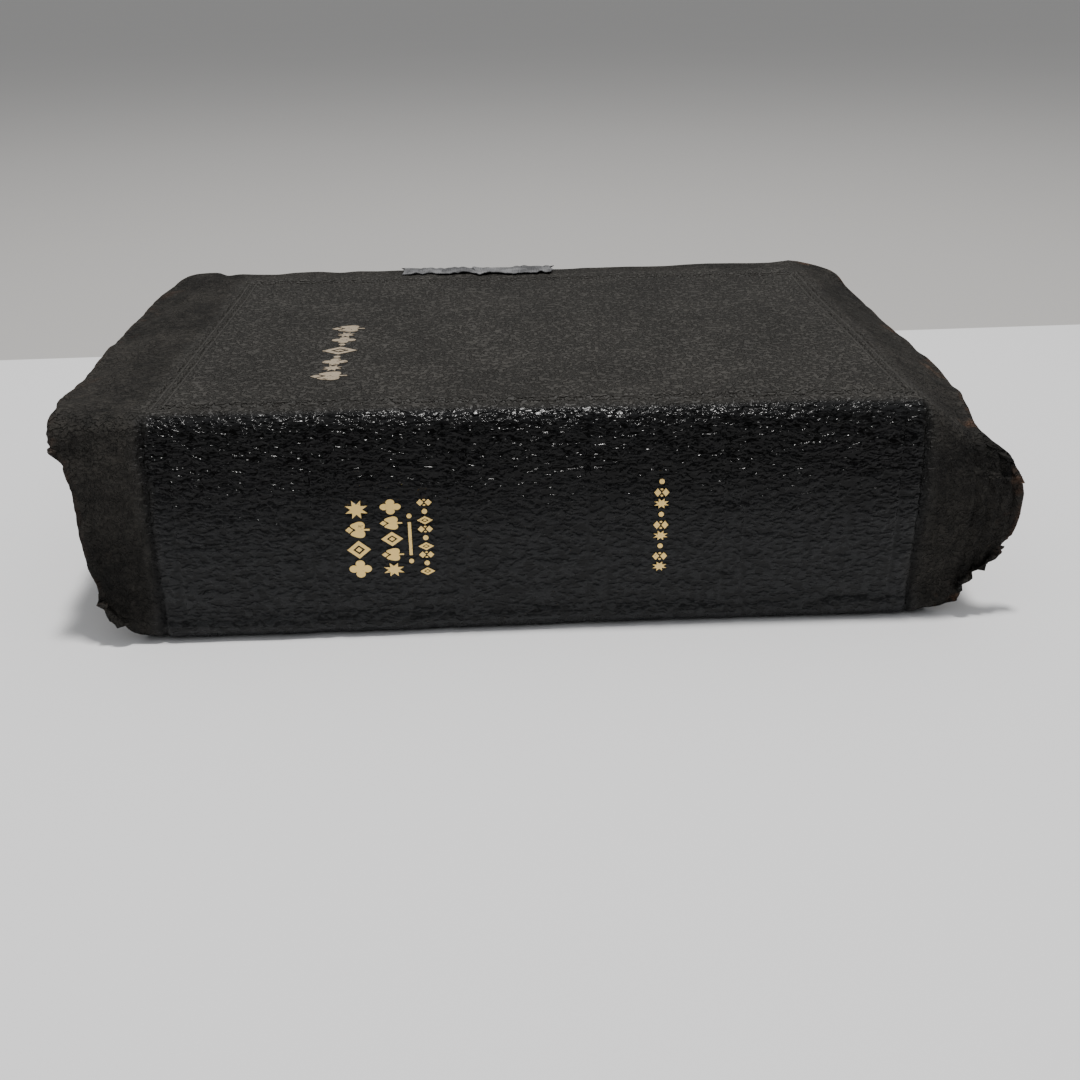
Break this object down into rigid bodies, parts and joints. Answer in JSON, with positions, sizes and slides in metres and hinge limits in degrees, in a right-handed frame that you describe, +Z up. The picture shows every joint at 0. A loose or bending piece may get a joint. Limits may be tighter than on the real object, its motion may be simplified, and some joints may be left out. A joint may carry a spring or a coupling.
{
  "type": "bible",
  "caption": "Thick closed book in limp black pebbled leather with soft overhanging flaps, rounded spine and covers and leaves that open about the spine.",
  "frame": {"origin": "middle of the closed book's outline, on the plane that the back cover rests on", "axes": "+X from head to tail along the spine, +Y from the spine to the fore edge, +Z up through the front cover"},
  "size_m": [0.227, 0.156, 0.0562],
  "materials": {
    "cover_leather": "pebbled, matte, rubbed brown at the edges",
    "spine_leather": "pebbled, polished by handling",
    "cover_lining": "smooth, matte",
    "pages": "thin paper with worn gilt edges",
    "endpaper": "aged, matte",
    "card": "flexible card",
    "linen_tape": "woven tape",
    "linen_thread": "waxed thread",
    "mull": "open weave",
    "brown_paper": "kraft, glued",
    "silk_band": "wound silk",
    "repair_tape": "crinkled, pale grey",
    "gilt": "gold foil pressed into leather"
  },
  "bodies": {
    "root": {"section_01": "pages", "section_02": "pages", "section_03": "pages", "section_04": "pages", "section_05": "pages", "section_06": "pages", "section_07": "pages", "section_08": "pages", "section_09": "pages", "section_10": "pages", "section_11": "pages", "section_12": "pages", "section_13": "pages", "section_14": "pages", "section_15": "pages", "section_16": "pages", "section_17": "pages", "back_flyleaf": "endpaper", "sewing_tapes_lower": "linen_tape", "kettle_stitches_lower": "linen_thread", "mull_lower": "mull", "spine_paper_lower": "brown_paper", "head_band_lower": "silk_band", "tail_band_lower": "silk_band", "spine_leather_lower": "spine_leather"},
    "upper_block": {"section_18": "pages", "section_19": "pages", "section_20": "pages", "section_21": "pages", "section_22": "pages", "section_23": "pages", "section_24": "pages", "section_25": "pages", "section_26": "pages", "section_27": "pages", "section_28": "pages", "section_29": "pages", "section_30": "pages", "section_31": "pages", "section_32": "pages", "front_flyleaf": "endpaper", "sewing_tapes_upper": "linen_tape", "kettle_stitches_upper": "linen_thread", "mull_upper": "mull", "spine_paper_upper": "brown_paper", "head_band_upper": "silk_band", "tail_band_upper": "silk_band", "spine_leather_upper": "spine_leather"},
    "front_cover": {"front_cover_leather": "cover_leather", "front_board": "card", "front_lining": "cover_lining", "repair_strip": "repair_tape"},
    "back_cover": {"back_cover_leather": "cover_leather", "back_board": "card", "back_lining": "cover_lining"}
  },
  "joints": [
    {"name": "block_opening", "type": "hinge", "parent": "root", "child": "upper_block", "pos_m": [0, -0.0784, 0.02957], "axis": [1, 0, 0], "range_deg": [0, 180]},
    {"name": "front_cover_hinge", "type": "hinge", "parent": "upper_block", "child": "front_cover", "pos_m": [0, -0.074, 0.05788], "axis": [1, 0, 0], "range_deg": [0, 180]},
    {"name": "back_cover_hinge", "type": "hinge", "parent": "root", "child": "back_cover", "pos_m": [0, -0.074, 0.00125], "axis": [1, 0, 0], "range_deg": [-180, 0]}
  ]
}
